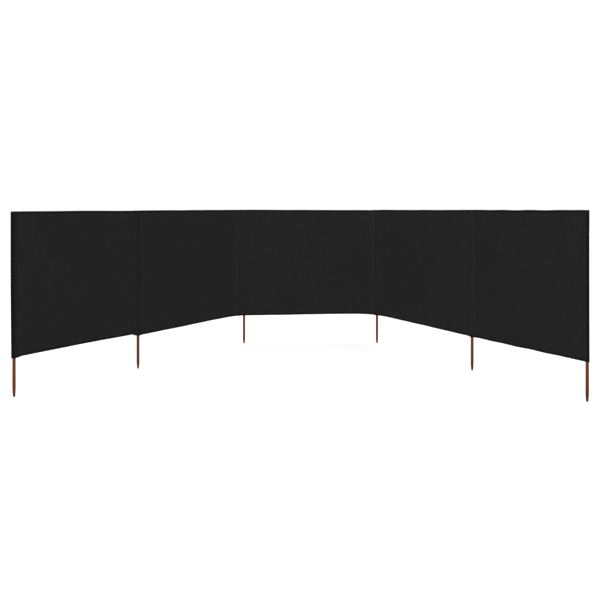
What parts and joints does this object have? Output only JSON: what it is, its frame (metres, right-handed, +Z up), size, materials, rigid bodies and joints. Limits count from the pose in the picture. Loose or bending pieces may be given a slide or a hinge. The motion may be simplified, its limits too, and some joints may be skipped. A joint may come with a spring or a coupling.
{
  "type": "beach windbreak",
  "caption": "Beach windbreak of black cloth bays sewn to sleeves on round wooden poles with blunt tapered tips, its wings turned towards the sheltered side.",
  "frame": {"origin": "centre of the flat end of the left corner pole's tip (the third pole from the left, seen from the sheltered side)", "axes": "+X along the middle bay to the right corner pole, +Y from the sheltered side to the windward side, +Z up along the poles"},
  "size_m": [3.0731, 1.8724, 1.0034],
  "materials": {
    "stained_wood": "red-brown stained hardwood dowel, satin, worn and darker at the tip",
    "black_cloth": "black plain-woven polyester, matt"
  },
  "bodies": {
    "root": {"pole_1": "stained_wood", "pole_2": "stained_wood", "pole_3": "stained_wood", "pole_4": "stained_wood", "pole_5": "stained_wood", "pole_6": "stained_wood", "pole_sleeve_1": "black_cloth", "pole_sleeve_2": "black_cloth", "pole_sleeve_3": "black_cloth", "pole_sleeve_4": "black_cloth", "pole_sleeve_5": "black_cloth", "pole_sleeve_6": "black_cloth", "cloth_panel_1": "black_cloth", "cloth_panel_2": "black_cloth", "cloth_panel_3": "black_cloth", "cloth_panel_4": "black_cloth", "cloth_panel_5": "black_cloth", "top_hem_1": "black_cloth", "top_hem_2": "black_cloth", "top_hem_3": "black_cloth", "top_hem_4": "black_cloth", "top_hem_5": "black_cloth", "bottom_hem_1": "black_cloth", "bottom_hem_2": "black_cloth", "bottom_hem_3": "black_cloth", "bottom_hem_4": "black_cloth", "bottom_hem_5": "black_cloth"}
  },
  "joints": []
}
